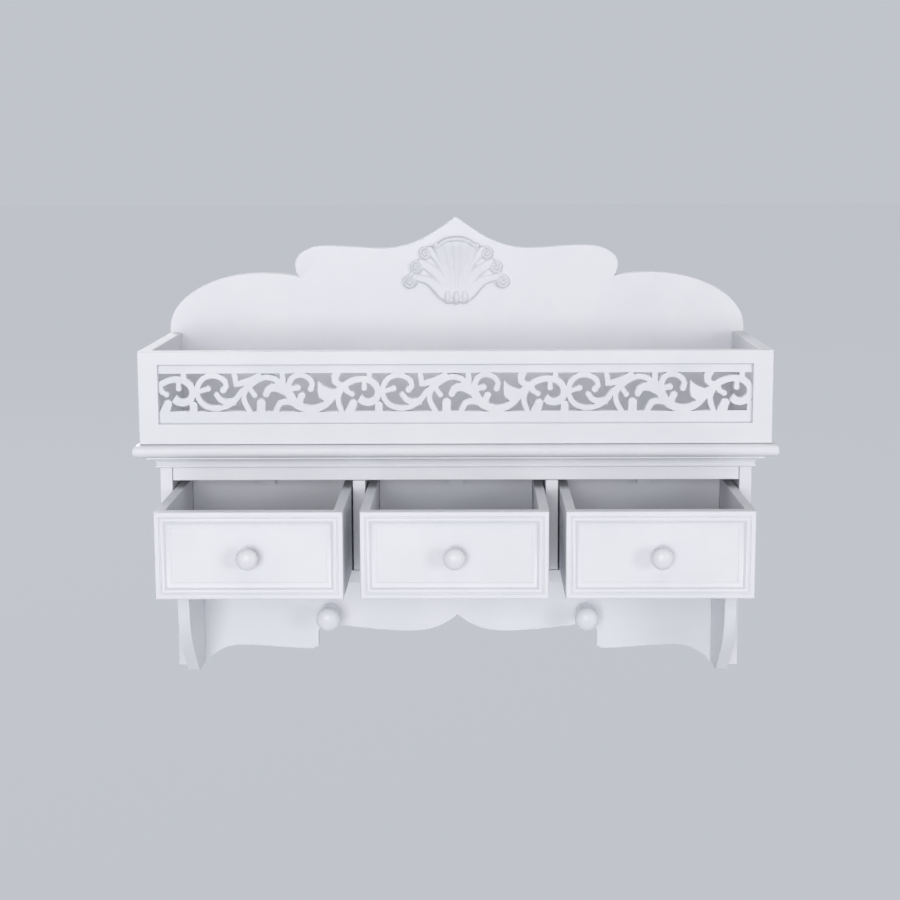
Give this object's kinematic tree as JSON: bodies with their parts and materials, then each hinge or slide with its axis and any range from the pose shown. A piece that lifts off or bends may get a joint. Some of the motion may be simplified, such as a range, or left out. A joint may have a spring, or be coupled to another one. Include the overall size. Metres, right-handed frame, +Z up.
{
  "type": "wall shelf with drawers",
  "caption": "Wall-hung painted wood shelf: open gallery with a pierced scroll front, shaped back with a carved shell, inset drawers below and turned coat pegs.",
  "frame": {"origin": "on the wall face, midway between the two hanging screws, at their height", "axes": "+X to the viewer's right along the width, +Y into the wall, +Z up; the drawers open towards -Y"},
  "size_m": [0.612, 0.3463, 0.479],
  "materials": {
    "paint": "satin white paint on fibreboard and beech",
    "carved_paint": "satin white paint on pierced or carved wood",
    "inside_paint": "thinner white paint inside the drawers",
    "zinc_steel": "zinc-plated steel sheet"
  },
  "bodies": {
    "carcase": {"backboard": "paint", "hanger_plate_left": "zinc_steel", "hanger_plate_right": "zinc_steel", "coat_peg_left": "paint", "coat_peg_right": "paint", "gallery_top_rail": "paint", "gallery_bottom_rail": "paint", "gallery_stile_left": "paint", "gallery_stile_right": "paint", "gallery_side_left": "paint", "gallery_side_right": "paint", "fretwork_panel": "carved_paint", "shelf_board": "paint", "bed_moulding_front": "paint", "bed_moulding_left": "paint", "bed_moulding_right": "paint", "carcase_side_left": "paint", "carcase_side_right": "paint", "face_rail": "paint", "bottom_board": "paint", "divider_1": "paint", "divider_2": "paint", "drawer_stop_1": "inside_paint", "drawer_stop_2": "inside_paint", "drawer_stop_3": "inside_paint", "shell_carving": "carved_paint"},
    "drawer_1": {"drawer_1_front": "paint", "drawer_1_side_left": "inside_paint", "drawer_1_side_right": "inside_paint", "drawer_1_back": "inside_paint", "drawer_1_bottom": "inside_paint", "drawer_1_knob": "paint"},
    "drawer_2": {"drawer_2_front": "paint", "drawer_2_side_left": "inside_paint", "drawer_2_side_right": "inside_paint", "drawer_2_back": "inside_paint", "drawer_2_bottom": "inside_paint", "drawer_2_knob": "paint"},
    "drawer_3": {"drawer_3_front": "paint", "drawer_3_side_left": "inside_paint", "drawer_3_side_right": "inside_paint", "drawer_3_back": "inside_paint", "drawer_3_bottom": "inside_paint", "drawer_3_knob": "paint"}
  },
  "joints": [
    {"name": "drawer_1_slide", "type": "slide", "parent": "carcase", "child": "drawer_1", "axis": [0, -1, 0], "range_m": [-0.124, 0]},
    {"name": "drawer_2_slide", "type": "slide", "parent": "carcase", "child": "drawer_2", "axis": [0, -1, 0], "range_m": [-0.124, 0]},
    {"name": "drawer_3_slide", "type": "slide", "parent": "carcase", "child": "drawer_3", "axis": [0, -1, 0], "range_m": [-0.124, 0]}
  ]
}
